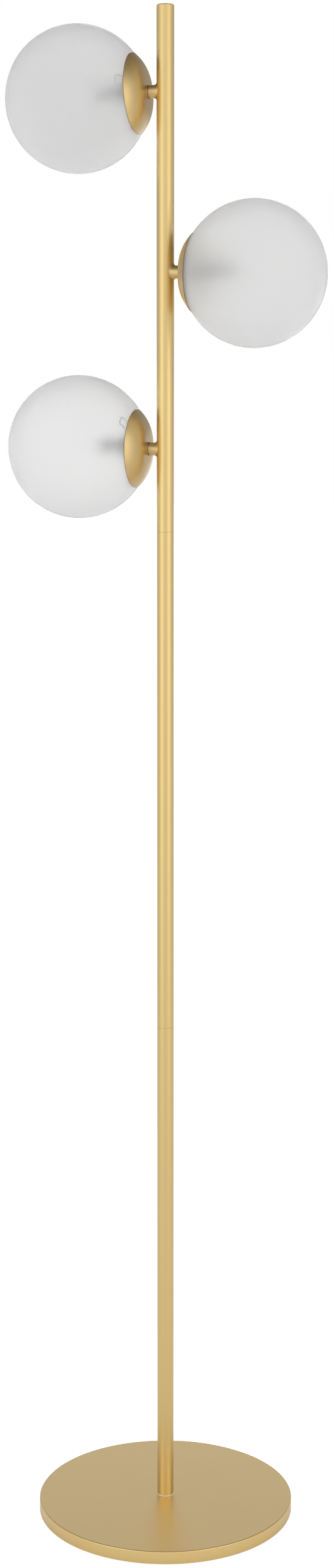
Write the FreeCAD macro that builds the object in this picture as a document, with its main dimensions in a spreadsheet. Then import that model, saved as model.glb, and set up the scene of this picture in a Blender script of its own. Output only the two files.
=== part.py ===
"""Floor lamp: a weighted round foot, a pole in three sections, and three frosted globes on short arms.

Millimetres, +Z up. The origin is the centre of the foot's underside, and the arms point along X:
the top and bottom arms to -X, the middle arm to +X. None of the three is quite level.
"""
import FreeCAD
import Part
import Sketcher
import math
import os
import re

Vector = FreeCAD.Vector
Rotation = FreeCAD.Rotation
Placement = FreeCAD.Placement

# The cord leaves the foot at the back, between the arms and the wall side, in degrees from +X
CORD_HEADING = 108.0

# Driving sizes
SIZES = {
    # foot, with its height stacked from the floor up
    "base_radius": 140.0,
    "pad_height": 2.0,
    "pad_inset": 4.0,
    "lead_pad_gap": 0.8,
    "lead_nut_gap": 0.1,
    "lock_washer_radius": 9.5,
    "lock_washer_height": 0.8,
    "weight_web": 2.2,
    "weight_side_gap": 0.8,
    "recess_gap": 3.5,
    "channel_side_gap": 1.0,
    "channel_top_gap": 0.6,
    "cover_wall": 1.5,
    "cover_edge_radius": 1.2,
    "cover_foot_gap": 0.8,
    "foot_washer_rise": 0.4,
    "foot_washer_height": 1.0,
    # cord outlet
    "bush_bore_radius": 2.3,
    "bush_wall": 0.9,
    "bush_flange_rise": 0.7,
    "bush_outer_flange": 0.8,
    "bush_inner_flange": 1.2,
    "bush_wall_slack": 0.15,
    "bush_pocket_gap": 0.6,
    "bush_pocket_depth": 3.0,
    # pole
    "pole_radius": 9.0,
    "pole_wall": 1.2,
    "section_length": 533.7,
    "insert_web": 5.0,
    "spigot_length": 12.0,
    "spigot_end_gap": 1.0,
    "cap_height": 1.2,
    "cap_edge_radius": 0.9,
    "cap_spigot_length": 8.0,
    "cap_gap": 0.05,
    "edge_break": 0.2,
    # hollow threaded rod and its nuts
    "wire_bore_radius": 3.75,
    "thread_wall": 1.25,
    "thread_gap": 0.05,
    "hole_gap": 0.25,
    "nut_across_flats": 14.0,
    "nut_height": 3.0,
    # arms
    "top_arm_margin": 83.7,
    "bottom_arm_margin": 86.0,
    "stub_wall": 1.65,
    "stub_root": 1.2,
    "stub_fillet": 3.0,
    "collar_rise": 0.25,
    "collar_height": 1.4,
    "nipple_engagement": 7.0,
    "nipple_end_gap": 0.2,
    "nipple_socket_depth": 5.0,
    # dish behind each globe
    "dish_wall": 0.9,
    "dish_seat_radius": 12.0,
    "dish_rim_radius": 40.7,
    "dish_depth": 12.9,
    # globe
    "globe_radius": 75.0,
    "globe_wall": 3.0,
    "globe_mouth_radius": 31.0,
    "globe_seat_gap": 0.3,
    # spring clips and the plate that carries them
    "carrier_side_gap": 4.2,
    "carrier_height": 1.2,
    "clip_wire_radius": 0.5,
    "clip_hole_gap": 0.1,
    "clip_edge_inset": 2.0,
    "clip_foot_tail": 0.8,
    "clip_foot_rise": 1.0,
    "clip_foot_half_width": 4.5,
    "clip_knee_inset": 3.6,
    "clip_knee_reach": 0.3,
    "clip_tip_reach": 8.0,
    "clip_tip_half_width": 4.5,
    "clip_glass_gap": 0.3,
    "clip_bend_radius": 2.0,
    "clip_tip_bend_radius": 2.0,
    # lampholder
    "socket_radius": 10.5,
    "socket_edge": 0.8,
    "socket_slot_width": 14.4,
    "socket_slot_height": 6.4,
    "socket_slot_depth": 12.0,
    "socket_chamber_depth": 0.7,
    "pocket_width": 3.4,
    "pocket_height": 5.0,
    "contact_thickness": 0.8,
    "contact_tab_thickness": 0.6,
    "contact_width": 3.0,
    "contact_tab_inner": 0.9,
    "contact_end_gap": 0.5,
    "contact_back_gap": 0.4,
    # bulb
    "bulb_radius": 7.0,
    "bulb_length": 28.0,
    "bulb_shoulder_radius": 1.5,
    "bulb_seat_gap": 0.3,
    "pinch_side_gap": 0.4,
    "pin_spacing": 9.0,
    "pin_radius": 0.5,
    "pin_loop_radius": 1.0,
    "pin_reach": 5.0,
    "pin_end_gap": 0.5,
    # leads
    "lead_radius": 2.0,
    "lead_bush_gap": 0.6,
    "arm_lead_radius": 1.1,
    "arm_lead_gap": 0.9,
    "arm_lead_bend": 6.0,
    "splice_radius": 4.5,
    "splice_height": 22.0,
    "splice_gap": 8.0,
    # overrun of every cutting tool
    "overrun": 2.0,
}

# Places worked out from the driving sizes
PLACES = {
    "thread_radius": "wire_bore_radius + thread_wall",
    "thread_hole": "thread_radius + thread_gap",
    "stud_hole": "thread_radius + hole_gap",
    "outlet_height": "pad_height + lead_pad_gap + lead_radius",
    "base_nut_foot": "outlet_height + lead_radius + lead_nut_gap",
    "recess_top": "base_nut_foot + nut_height + lock_washer_height",
    "recess_radius": "lock_washer_radius + recess_gap",
    "cover_underside": "recess_top + weight_web",
    "base_height": "cover_underside + cover_wall",
    "weight_radius": "base_radius - cover_wall - weight_side_gap",
    "pole_foot": "base_height + foot_washer_height",
    "foot_washer_radius": "pole_radius + foot_washer_rise",
    "lower_joint": "pole_foot + section_length",
    "upper_joint": "lower_joint + section_length",
    "pole_top": "upper_joint + section_length",
    "tube_bore": "pole_radius - pole_wall",
    "spigot_radius": "(wire_bore_radius + tube_bore) / 2",
    "tapped_depth": "spigot_length + spigot_end_gap",
    "insert_length": "tapped_depth + insert_web",
    "top_arm": "pole_top - top_arm_margin",
    "bottom_arm": "upper_joint + bottom_arm_margin",
    "middle_arm": "(top_arm + bottom_arm) / 2",
    "bush_neck_radius": "bush_bore_radius + bush_wall",
    "bush_flange_radius": "bush_neck_radius + bush_flange_rise",
    "bush_wall_face": "base_radius - cover_wall - bush_wall_slack",
    "bush_inner_face": "bush_wall_face - bush_inner_flange",
    "stub_radius": "thread_hole + stub_wall",
    "stub_thread_foot": "pole_radius + stub_root",
    "nipple_foot": "stub_thread_foot + nipple_end_gap",
    "stub_reach": "nipple_foot + nipple_engagement",
    "collar_radius": "stub_radius + collar_rise",
    "dish_back": "stub_reach + collar_height",
    "dish_floor": "dish_back + dish_wall",
    "bowl_radius": "((dish_rim_radius - dish_seat_radius)^2 + dish_depth^2) / (2 * dish_depth)",
    "bowl_centre": "dish_back + bowl_radius",
    "inner_bowl": "bowl_radius - dish_wall",
    "rim_plane": "dish_back + dish_depth",
    "rim_inner": "dish_seat_radius + sqrt(inner_bowl^2 - (bowl_centre - rim_plane)^2)",
    "globe_centre": "rim_plane + sqrt((globe_radius + globe_seat_gap)^2 - rim_inner^2)",
    "globe_bore": "globe_radius - globe_wall",
    "mouth_outer": "globe_centre - sqrt(globe_radius^2 - globe_mouth_radius^2)",
    "mouth_inner": "globe_centre - sqrt(globe_bore^2 - globe_mouth_radius^2)",
    "carrier_back": "dish_floor + nut_height",
    "carrier_front": "carrier_back + carrier_height",
    "carrier_radius": "dish_seat_radius + sqrt(inner_bowl^2 - (bowl_centre - carrier_back)^2)"
                      " - carrier_side_gap",
    "clip_foot_radius": "carrier_radius - clip_edge_inset",
    "clip_reach": "globe_bore - clip_glass_gap - clip_wire_radius",
    "clip_tip": "rim_plane + clip_tip_reach",
    "clip_tip_radius": "sqrt(clip_reach^2 - (globe_centre - clip_tip)^2 - clip_tip_half_width^2)",
    "clip_knee": "rim_plane - clip_knee_reach",
    "clip_knee_radius": "globe_mouth_radius - clip_knee_inset",
    "nipple_end": "carrier_front + nipple_socket_depth",
    "pocket_floor": "nipple_end + nipple_end_gap + socket_chamber_depth",
    "contact_foot": "pocket_floor + contact_back_gap",
    "slot_floor": "contact_foot + contact_tab_thickness + pin_end_gap + pin_reach - bulb_seat_gap",
    "socket_front": "slot_floor + socket_slot_depth",
    "bulb_foot": "socket_front + bulb_seat_gap",
    "pinch_foot": "slot_floor + bulb_seat_gap",
    "lead_bend": "wire_bore_radius",
    "arm_lead_offset": "arm_lead_radius + arm_lead_gap",
    "splice_foot": "upper_joint + insert_length + splice_gap",
    "splice_top": "splice_foot + splice_height",
}

# The three arms: which way each points, its height on the pole's axis, how many degrees it droops
# below level, the turn of its clips from straight up, and where its lead runs inside the pole, as
# shares of the lead offset along and across the arm
ARMS = (
    {"number": 1, "side": -1, "height": "top_arm", "droop": 2.5, "clip_turn": -78,
     "lead_shares": (0, -1)},
    {"number": 2, "side": 1, "height": "middle_arm", "droop": 2.4, "clip_turn": 30,
     "lead_shares": (1, 0)},
    {"number": 3, "side": -1, "height": "bottom_arm", "droop": -1.6, "clip_turn": -49,
     "lead_shares": (1, 0)},
)
CLIPS_PER_ARM = 3
LEFT = 1
RIGHT = -1
# How many points of an edge have to lie on both walls, and how closely, for it to be their seam
SEAM_PROBES = 7
SEAM_TOLERANCE = 1e-3

doc = FreeCAD.newDocument("floor_lamp")
sheet = doc.addObject("Spreadsheet::Sheet", "sheet")
for row, (alias, value) in enumerate(SIZES.items(), start=1):
    sheet.set("A%d" % row, alias)
    sheet.set("B%d" % row, str(value))
    sheet.setAlias("B%d" % row, alias)
doc.recompute()

PARTS = {}


def bound(text):
    """An expression in size and place names, written out for the sheet."""
    def replace(match):
        word = match.group(0)
        if word in PLACES:
            return "(" + bound(PLACES[word]) + ")"
        return "sheet." + word if word in SIZES else word
    return re.sub(r"[a-z][a-z_]+", replace, text)


def number(text):
    return float(sheet.evalExpression(bound(text)))


def bind(item, **expressions):
    for name, text in expressions.items():
        item.setExpression(name.replace("__", "."), bound(text))
    return item


def keep(item, label):
    """Mark an object as a finished sub-part."""
    item.Label = label
    PARTS[label] = item
    return item


# Sketches and turned pieces

def arc_between(start, end, radius, side):
    """The short arc between two points, with its centre to the left or right of the way."""
    way = end - start
    rise = math.sqrt(max(radius**2 - way.Length**2 / 4, 0))
    centre = (start + end) / 2 + Vector(-way.y, way.x, 0).normalize() * rise * side
    circle = Part.Circle(centre, Vector(0, 0, 1), radius)
    angles = [math.atan2(p.y - centre.y, p.x - centre.x) for p in (start, end)]
    return Part.ArcOfCircle(circle, *(angles if side == LEFT else reversed(angles)))


def outline(sketch, corners):
    """A closed outline through corners (across, up), each bound to the sheet.

    A corner may add a radius and a side: the stretch that arrives there is then an arc.
    """
    points = [Vector(number(c[0]), number(c[1]), 0) for c in corners]
    starts, ends = [], []
    for index, start in enumerate(points):
        target = (index + 1) % len(points)
        bend = corners[target][2:]
        if bend:
            sketch.addGeometry(arc_between(start, points[target], number(bend[0]), bend[1]))
        else:
            sketch.addGeometry(Part.LineSegment(start, points[target]))
        forward = not bend or bend[1] == LEFT
        starts.append(1 if forward else 2)
        ends.append(2 if forward else 1)
    for index in range(len(points)):
        target = (index + 1) % len(points)
        sketch.addConstraint(Sketcher.Constraint("Coincident", index, ends[index], target, starts[target]))
        bend = corners[target][2:]
        if bend:
            add_size(sketch, bend[0], "Radius", index)
    for index, corner in enumerate(corners):
        add_size(sketch, corner[0], "DistanceX", -1, 1, index, starts[index])
        add_size(sketch, corner[1], "DistanceY", -1, 1, index, starts[index])


def add_size(sketch, text, *constraint):
    index = sketch.addConstraint(Sketcher.Constraint(*constraint, number(text)))
    sketch.setExpression("Constraints[%d]" % index, bound(text))


def turned(name, corners):
    """A body turned about its own Z axis from an outline of (radius, height) corners."""
    body = doc.addObject("PartDesign::Body", name)
    sketch = body.newObject("Sketcher::SketchObject", name + "_outline")
    plane = [item for item in body.Origin.OriginFeatures if item.Role == "XZ_Plane"][0]
    sketch.AttachmentSupport = [(plane, "")]
    sketch.MapMode = "FlatFace"
    outline(sketch, corners)
    turn = body.newObject("PartDesign::Revolution", name + "_turn")
    turn.Profile = sketch
    turn.ReferenceAxis = (sketch, ["V_Axis"])
    turn.Angle = 360
    return body


def ring(name, inner, outer, foot, top, edge=None):
    """A plain ring or tube, with its outer corners broken where an edge is given."""
    if edge is None:
        return turned(name, [(inner, foot), (outer, foot), (outer, top), (inner, top)])
    small = outer + " - " + edge
    return turned(name, [
        (inner, foot), (small, foot), (outer, foot + " + " + edge),
        (outer, top + " - " + edge), (small, top), (inner, top)])


# Primitives and booleans

def cylinder(name, radius, height, foot="0", across="0", aside="0"):
    item = doc.addObject("Part::Cylinder", name)
    return bind(item, Radius=radius, Height=height, Placement__Base__x=across,
                Placement__Base__y=aside, Placement__Base__z=foot)


def box(name, length, width, height, across="0", aside="0", foot="0"):
    """A box centred on (across, aside), standing on foot."""
    item = doc.addObject("Part::Box", name)
    return bind(item, Length=length, Width=width, Height=height,
                Placement__Base__x="%s - (%s) / 2" % (across, length),
                Placement__Base__y="%s - (%s) / 2" % (aside, width), Placement__Base__z=foot)


def fuse(name, items):
    item = doc.addObject("Part::MultiFuse", name)
    item.Shapes = items
    return item


def cut(name, base, tools):
    item = doc.addObject("Part::Cut", name)
    item.Base = base
    item.Tool = tools[0] if len(tools) == 1 else fuse(name + "_tools", tools)
    return item


def group(name, items):
    item = doc.addObject("Part::Compound", name)
    item.Links = items
    return item


def hex_nut(name, foot):
    prism = doc.addObject("Part::Prism", name + "_hexagon")
    prism.Polygon = 6
    bind(prism, Circumradius="nut_across_flats / sqrt(3)", Height="nut_height", Placement__Base__z=foot)
    bore = cylinder(name + "_bore", "thread_hole", "nut_height + 2 * overrun", foot + " - overrun")
    return cut(name, prism, [bore])


def turn_heading(item, degrees):
    item.Placement = Placement(Vector(0, 0, 0), Rotation(Vector(0, 0, 1), degrees))
    return item


def point_outwards(item, heading, height, droop=0):
    """Lay a piece that was made standing so that it points outwards, with its own X axis up."""
    level = Vector(math.cos(math.radians(heading)), math.sin(math.radians(heading)), 0)
    upright = Vector(0, 0, 1)
    slope = math.radians(droop)
    out = level * math.cos(slope) - upright * math.sin(slope)
    up = level * math.sin(slope) + upright * math.cos(slope)
    item.Placement = Placement(Vector(0, 0, 0), Rotation(up, out.cross(up), out, "ZXY"))
    return bind(item, Placement__Base__z=height)


# Foot

def make_base():
    shell = turned("cover_shell", [
        ("base_radius", "cover_foot_gap"), ("base_radius", "base_height - cover_edge_radius"),
        ("base_radius - cover_edge_radius", "base_height", "cover_edge_radius", LEFT),
        ("stud_hole", "base_height"), ("stud_hole", "cover_underside"),
        ("base_radius - cover_wall", "cover_underside"), ("base_radius - cover_wall", "cover_foot_gap")])
    outlet = cylinder("cover_outlet", "bush_neck_radius + thread_gap", "cover_wall + 2 * overrun",
                      "outlet_height", "base_radius - cover_wall - overrun")
    outlet.Placement.Rotation = Rotation(Vector(0, 1, 0), 90)
    keep(turn_heading(cut("cover", shell, [outlet]), CORD_HEADING), "base_cover")

    disc = turned("weight_disc", [
        ("recess_radius", "pad_height"), ("weight_radius", "pad_height"),
        ("weight_radius", "cover_underside"), ("stud_hole", "cover_underside"),
        ("stud_hole", "recess_top"), ("recess_radius", "recess_top")])
    channel = box("weight_channel", "weight_radius", "2 * (lead_radius + channel_side_gap)",
                  "outlet_height + lead_radius + channel_top_gap - pad_height + overrun",
                  "weight_radius / 2", "0", "pad_height - overrun")
    pocket = box("weight_pocket", "2 * bush_pocket_depth", "2 * (bush_flange_radius + bush_pocket_gap)",
                 "outlet_height + bush_flange_radius + bush_pocket_gap - pad_height + overrun",
                 "weight_radius", "0", "pad_height - overrun")
    keep(turn_heading(cut("weight", disc, [channel, pocket]), CORD_HEADING), "base_weight")

    pad_radius = "base_radius - cover_wall - pad_inset"
    keep(turned("pad", [("0", "0"), (pad_radius, "0"), (pad_radius, "pad_height"), ("0", "pad_height")]),
         "base_pad")
    keep(ring("stud", "wire_bore_radius", "thread_radius", "base_nut_foot",
              "pole_foot + spigot_length"), "base_stud")
    keep(hex_nut("base_hexagon_nut", "base_nut_foot"), "base_nut")
    keep(ring("lock_washer", "stud_hole", "lock_washer_radius", "recess_top - lock_washer_height",
              "recess_top"), "base_lock_washer")
    keep(ring("washer", "stud_hole", "foot_washer_radius", "base_height", "pole_foot", "edge_break"),
         "foot_washer")

    bush = turned("bush", [
        ("bush_bore_radius", "bush_inner_face"), ("bush_flange_radius", "bush_inner_face"),
        ("bush_flange_radius", "bush_wall_face"), ("bush_neck_radius", "bush_wall_face"),
        ("bush_neck_radius", "base_radius"), ("bush_flange_radius", "base_radius"),
        ("bush_flange_radius", "base_radius + bush_outer_flange"),
        ("bush_bore_radius", "base_radius + bush_outer_flange")])
    keep(point_outwards(bush, CORD_HEADING, "outlet_height"), "cord_bush")


# Pole

def make_pole():
    keep(ring("lower_tube", "tube_bore", "pole_radius", "pole_foot", "lower_joint", "edge_break"),
         "pole_lower")
    keep(ring("middle_tube", "tube_bore", "pole_radius", "lower_joint", "upper_joint", "edge_break"),
         "pole_middle")

    tube = ring("upper_tube", "tube_bore", "pole_radius", "upper_joint", "pole_top", "edge_break")
    holes = []
    for arm in ARMS:
        hole = cylinder("wire_hole_%d" % arm["number"], "wire_bore_radius", "pole_radius + overrun",
                        arm["height"])
        hole.Placement.Rotation = Rotation(Vector(0, 1, 0), (90 + arm["droop"]) * arm["side"])
        holes.append(hole)
    keep(cut("upper_tube_drilled", tube, holes), "pole_upper")

    thread_top = "pole_foot + tapped_depth"
    keep(turned("ferrule", [
        ("thread_hole", "pole_foot"), ("tube_bore", "pole_foot"),
        ("tube_bore", "pole_foot + insert_length"), ("wire_bore_radius", "pole_foot + insert_length"),
        ("wire_bore_radius", thread_top), ("thread_hole", thread_top)]), "foot_ferrule")
    for level in ("lower", "upper"):
        make_pole_joint(level, level + "_joint")

    spigot = "tube_bore - cap_gap"
    cap_top = "pole_top + cap_height"
    keep(turned("cap", [
        ("0", "pole_top - cap_spigot_length"), (spigot, "pole_top - cap_spigot_length"),
        (spigot, "pole_top"), ("pole_radius - edge_break", "pole_top"),
        ("pole_radius", "pole_top + edge_break"), ("pole_radius", cap_top + " - cap_edge_radius"),
        ("pole_radius - cap_edge_radius", cap_top, "cap_edge_radius", LEFT), ("0", cap_top)]), "top_cap")


def make_pole_joint(level, seam):
    """The threaded plug in the end of one tube and the tapped plug in the next."""
    plug_foot = seam + " - insert_length"
    plug_top = seam + " + insert_length"
    spigot_top = seam + " + spigot_length"
    tapped_top = seam + " + tapped_depth"
    tapped = "spigot_radius + thread_gap"
    keep(turned(level + "_stud", [
        ("wire_bore_radius", plug_foot), ("tube_bore", plug_foot), ("tube_bore", seam),
        ("spigot_radius", seam), ("spigot_radius", spigot_top), ("wire_bore_radius", spigot_top)]),
        level + "_joint_stud")
    keep(turned(level + "_tapped", [
        (tapped, seam), ("tube_bore", seam), ("tube_bore", plug_top), ("wire_bore_radius", plug_top),
        ("wire_bore_radius", tapped_top), (tapped, tapped_top)]), level + "_joint_socket")


# Arms

def stub_seam_edges(shape, pole_axis):
    """The edges where the stub meets the pole, both laid out about the stub's own axes."""
    found = []
    for index, edge in enumerate(shape.Edges, start=1):
        points = edge.discretize(SEAM_PROBES)
        on_pole = all(
            abs(p.cross(pole_axis).Length - number("pole_radius")) < SEAM_TOLERANCE for p in points)
        on_stub = all(abs(math.hypot(p.x, p.y) - number("stub_radius")) < SEAM_TOLERANCE for p in points)
        if on_pole and on_stub:
            found.append(index)
    return found


def make_stub(tag, droop):
    """The short tube brazed to the pole, flared where it meets it."""
    rod = turned("stub_rod" + tag, [
        ("0", "0"), ("stub_radius", "0"), ("stub_radius", "stub_reach - edge_break"),
        ("stub_radius - edge_break", "stub_reach"), ("0", "stub_reach")])
    half = "(stub_radius + stub_fillet + overrun)"
    pole = cylinder("stub_pole" + tag, "pole_radius", "2 * " + half, "%s * sin(%g)" % (half, droop),
                    "0 - %s * cos(%g)" % (half, droop))
    pole.Placement.Rotation = Rotation(Vector(0, 1, 0), 90 + droop)
    pole_axis = pole.Placement.Rotation.multVec(Vector(0, 0, 1))
    joined = fuse("stub_joined" + tag, [pole, rod])
    doc.recompute()
    flared = doc.addObject("Part::Fillet", "stub_flared" + tag)
    flared.Base = joined
    radius = number("stub_fillet")
    flared.Edges = [(index, radius, radius) for index in stub_seam_edges(joined.Shape, pole_axis)]
    wire_bore = cylinder("stub_wire_bore" + tag, "wire_bore_radius", "stub_reach + overrun")
    thread = cylinder("stub_thread" + tag, "thread_hole", "stub_reach - stub_thread_foot + overrun",
                      "stub_thread_foot")
    return cut("stub" + tag, flared, [pole, wire_bore, thread])


def make_dish(tag):
    """A spun bowl: a flat seat and one curve from it up to the rim."""
    return turned("dish_shell" + tag, [
        ("stud_hole", "dish_back"), ("dish_seat_radius", "dish_back"),
        ("dish_rim_radius", "rim_plane", "bowl_radius", LEFT),
        ("rim_inner", "rim_plane"),
        ("dish_seat_radius", "dish_floor", "inner_bowl", RIGHT),
        ("stud_hole", "dish_floor")])


def make_globe(tag):
    return turned("globe_shell" + tag, [
        ("globe_mouth_radius", "mouth_outer"),
        ("0", "globe_centre + globe_radius", "globe_radius", LEFT),
        ("0", "globe_centre + globe_bore"),
        ("globe_mouth_radius", "mouth_inner", "globe_bore", RIGHT)])


def clip_turns(arm):
    return [arm["clip_turn"] + 360 * step / CLIPS_PER_ARM for step in range(CLIPS_PER_ARM)]


def make_carrier(tag, arm):
    disc = ring("carrier_disc" + tag, "stud_hole", "carrier_radius", "carrier_back", "carrier_front")
    holes = []
    for index, turn in enumerate(clip_turns(arm)):
        for side in (LEFT, RIGHT):
            name = "clip_hole%s_%d_%s" % (tag, index + 1, "a" if side == LEFT else "b")
            foot = "(clip_foot_radius)", "(%d * clip_foot_half_width)" % side
            across = "%s * cos(%g) - %s * sin(%g)" % (foot[0], turn, foot[1], turn)
            aside = "%s * sin(%g) + %s * cos(%g)" % (foot[0], turn, foot[1], turn)
            holes.append(cylinder(name, "clip_wire_radius + clip_hole_gap", "carrier_height + 2 * overrun",
                                  "carrier_back - overrun", across, aside))
    return cut("carrier" + tag, disc, holes)


def rounded_wire(points, radii):
    """Straight runs through the points, with a tangent arc of the given radius at each inner one."""
    edges = []
    last = points[0]
    for before, corner, after, radius in zip(points, points[1:], points[2:], radii):
        back = (before - corner).normalize()
        ahead = (after - corner).normalize()
        half = back.getAngle(ahead) / 2
        reach = radius / math.tan(half)
        middle = corner + (back + ahead).normalize() * (radius / math.sin(half) - radius)
        start, end = corner + back * reach, corner + ahead * reach
        edges += [Part.LineSegment(last, start).toShape(), Part.Arc(start, middle, end).toShape()]
        last = end
    edges.append(Part.LineSegment(last, points[-1]).toShape())
    return Part.Wire(edges)


def make_clips(tag, arm):
    """Three hairpins of spring wire, from the carrier out through the globe's mouth to its glass."""
    foot_radius, knee_radius = number("clip_foot_radius"), number("clip_knee_radius")
    tip_radius, half_width = number("clip_tip_radius"), number("clip_foot_half_width")
    leg = [
        Vector(foot_radius, half_width, number("carrier_back - clip_foot_tail")),
        Vector(foot_radius, half_width, number("carrier_front + clip_foot_rise")),
        Vector(knee_radius, half_width, number("clip_knee")),
        Vector(tip_radius, number("clip_tip_half_width"), number("clip_tip")),
    ]
    other_leg = [Vector(p.x, -p.y, p.z) for p in reversed(leg)]
    bend, tip_bend = number("clip_bend_radius"), number("clip_tip_bend_radius")
    path = rounded_wire(leg + other_leg, [bend, bend, tip_bend, tip_bend, bend, bend])
    section = Part.Wire(Part.Circle(leg[0], Vector(0, 0, 1), number("clip_wire_radius")).toShape())
    hairpin = path.makePipeShell([section], True, False)
    turned_clips = []
    for turn in clip_turns(arm):
        copy = hairpin.copy()
        copy.rotate(Vector(0, 0, 0), Vector(0, 0, 1), turn)
        turned_clips.append(copy)
    item = doc.addObject("Part::Feature", "clips" + tag)
    item.Shape = Part.makeCompound(turned_clips)
    return item


def make_socket(tag):
    """A ceramic lampholder: threaded at the back, slotted at the front for the bulb's foot."""
    blank = ring("socket_blank" + tag, "0", "socket_radius", "carrier_front", "socket_front", "socket_edge")
    thread = cylinder("socket_thread" + tag, "thread_hole", "nipple_socket_depth + nipple_end_gap + overrun",
                      "carrier_front - overrun")
    chamber = cylinder("socket_chamber" + tag, "wire_bore_radius",
                       "contact_foot + contact_tab_thickness + contact_back_gap - carrier_front",
                       "carrier_front")
    slot = box("socket_slot" + tag, "socket_slot_height", "socket_slot_width",
               "socket_slot_depth + overrun", "0", "0", "slot_floor")
    pockets = [
        box("socket_pocket%s_%s" % (tag, side), "pocket_height", "pocket_width",
            "slot_floor - pocket_floor + overrun", "0", "%s pin_spacing / 2" % sign, "pocket_floor")
        for side, sign in (("a", "0 + "), ("b", "0 - "))]
    return cut("socket_body" + tag, blank, [thread, chamber, slot] + pockets)


def make_contacts(tag):
    """Two angle strips, each a tab by the lead and a blade beside one pin."""
    strips = []
    outer = "(pin_spacing / 2 + pocket_width / 2)"
    for side, sign in (("a", "0 + "), ("b", "0 - ")):
        name = "contact%s_%s" % (tag, side)
        tab = box(name + "_tab", "contact_width", outer + " - contact_tab_inner", "contact_tab_thickness",
                  "0", "%s (%s + contact_tab_inner) / 2" % (sign, outer), "contact_foot")
        blade = box(name + "_blade", "contact_width", "contact_thickness",
                    "slot_floor - contact_end_gap - contact_foot",
                    "0", "%s (%s - contact_thickness / 2)" % (sign, outer), "contact_foot")
        strips.append(fuse(name, [tab, blade]))
    return group("contacts" + tag, strips)


def make_bulb(tag):
    """A capsule with a domed end and a flat foot that enters the slot."""
    dome = "bulb_foot + bulb_length - bulb_radius"
    capsule = turned("bulb_capsule" + tag, [
        ("0", "bulb_foot"), ("bulb_radius - bulb_shoulder_radius", "bulb_foot"),
        ("bulb_radius", "bulb_foot + bulb_shoulder_radius", "bulb_shoulder_radius", LEFT),
        ("bulb_radius", dome), ("0", "bulb_foot + bulb_length", "bulb_radius", LEFT)])
    pinch = box("bulb_pinch" + tag, "socket_slot_height - 2 * pinch_side_gap",
                "socket_slot_width - 2 * pinch_side_gap",
                "bulb_foot + bulb_shoulder_radius - pinch_foot", "0", "0", "pinch_foot")
    return fuse("bulb_glass" + tag, [capsule, pinch])


def make_pins(tag):
    """Two wire loops that stand out of the bulb's foot."""
    loops = []
    loop_centre = "pinch_foot - pin_reach + pin_loop_radius + pin_radius"
    for side, sign in (("a", "0 + "), ("b", "0 - ")):
        name = "pin%s_%s" % (tag, side)
        aside = sign + "pin_spacing / 2"
        legs = [
            cylinder("%s_leg_%s" % (name, end), "pin_radius", "pinch_foot - (%s)" % loop_centre,
                     loop_centre, "%s pin_loop_radius" % way, aside)
            for end, way in (("a", "0 + "), ("b", "0 - "))]
        bend = doc.addObject("Part::Torus", name + "_bend")
        bend.Angle3 = 180
        bind(bend, Radius1="pin_loop_radius", Radius2="pin_radius", Placement__Base__y=aside,
             Placement__Base__z=loop_centre)
        bend.Placement.Rotation = Rotation(Vector(1, 0, 0), -90)
        loops.append(fuse(name, legs + [bend]))
    return group("pins" + tag, loops)


def make_arms():
    for arm in ARMS:
        tag = "_%d" % arm["number"]
        pieces = {
            "arm_stub": make_stub(tag, arm["droop"]),
            "arm_collar": ring("collar" + tag, "stud_hole", "collar_radius", "stub_reach", "dish_back",
                               "edge_break"),
            "dish": make_dish(tag),
            "nipple": ring("nipple_tube" + tag, "wire_bore_radius", "thread_radius",
                           "nipple_foot", "nipple_end"),
            "nipple_nut": hex_nut("nipple_hexagon_nut" + tag, "dish_floor"),
            "clip_carrier": make_carrier(tag, arm),
            "spring_clips": make_clips(tag, arm),
            "socket": make_socket(tag),
            "socket_contacts": make_contacts(tag),
            "bulb": make_bulb(tag),
            "bulb_pins": make_pins(tag),
            "globe": make_globe(tag),
        }
        heading = 0 if arm["side"] > 0 else 180
        for name, item in pieces.items():
            keep(point_outwards(item, heading, arm["height"], arm["droop"]), name + tag)


# Leads

def bent_lead(name, radius, bend, upright, run, bend_foot, bend_start):
    """An upright length, a quarter bend and a level length, in the XZ plane at (across, aside).

    upright is (across, aside, foot, height), run is (level, length), bend_foot is the height of
    the bend's centre and bend_start the angle where the quarter bend begins, from +X towards +Z.
    """
    across, aside, foot, height = upright
    level, length = run
    turn_at = "%s + %s" % (across, bend)
    post = cylinder(name + "_upright", radius, height, foot, across, aside)
    arm = cylinder(name + "_run", radius, length, level, turn_at, aside)
    arm.Placement.Rotation = Rotation(Vector(0, 1, 0), 90)
    elbow = doc.addObject("Part::Torus", name + "_elbow")
    elbow.Angle3 = 90
    bind(elbow, Radius1=bend, Radius2=radius, Placement__Base__x=turn_at, Placement__Base__y=aside,
         Placement__Base__z=bend_foot)
    elbow.Placement.Rotation = (Rotation(Vector(0, -1, 0), bend_start)
                                * Rotation(Vector(1, 0, 0), 90))
    return fuse(name, [post, elbow, arm])


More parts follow.
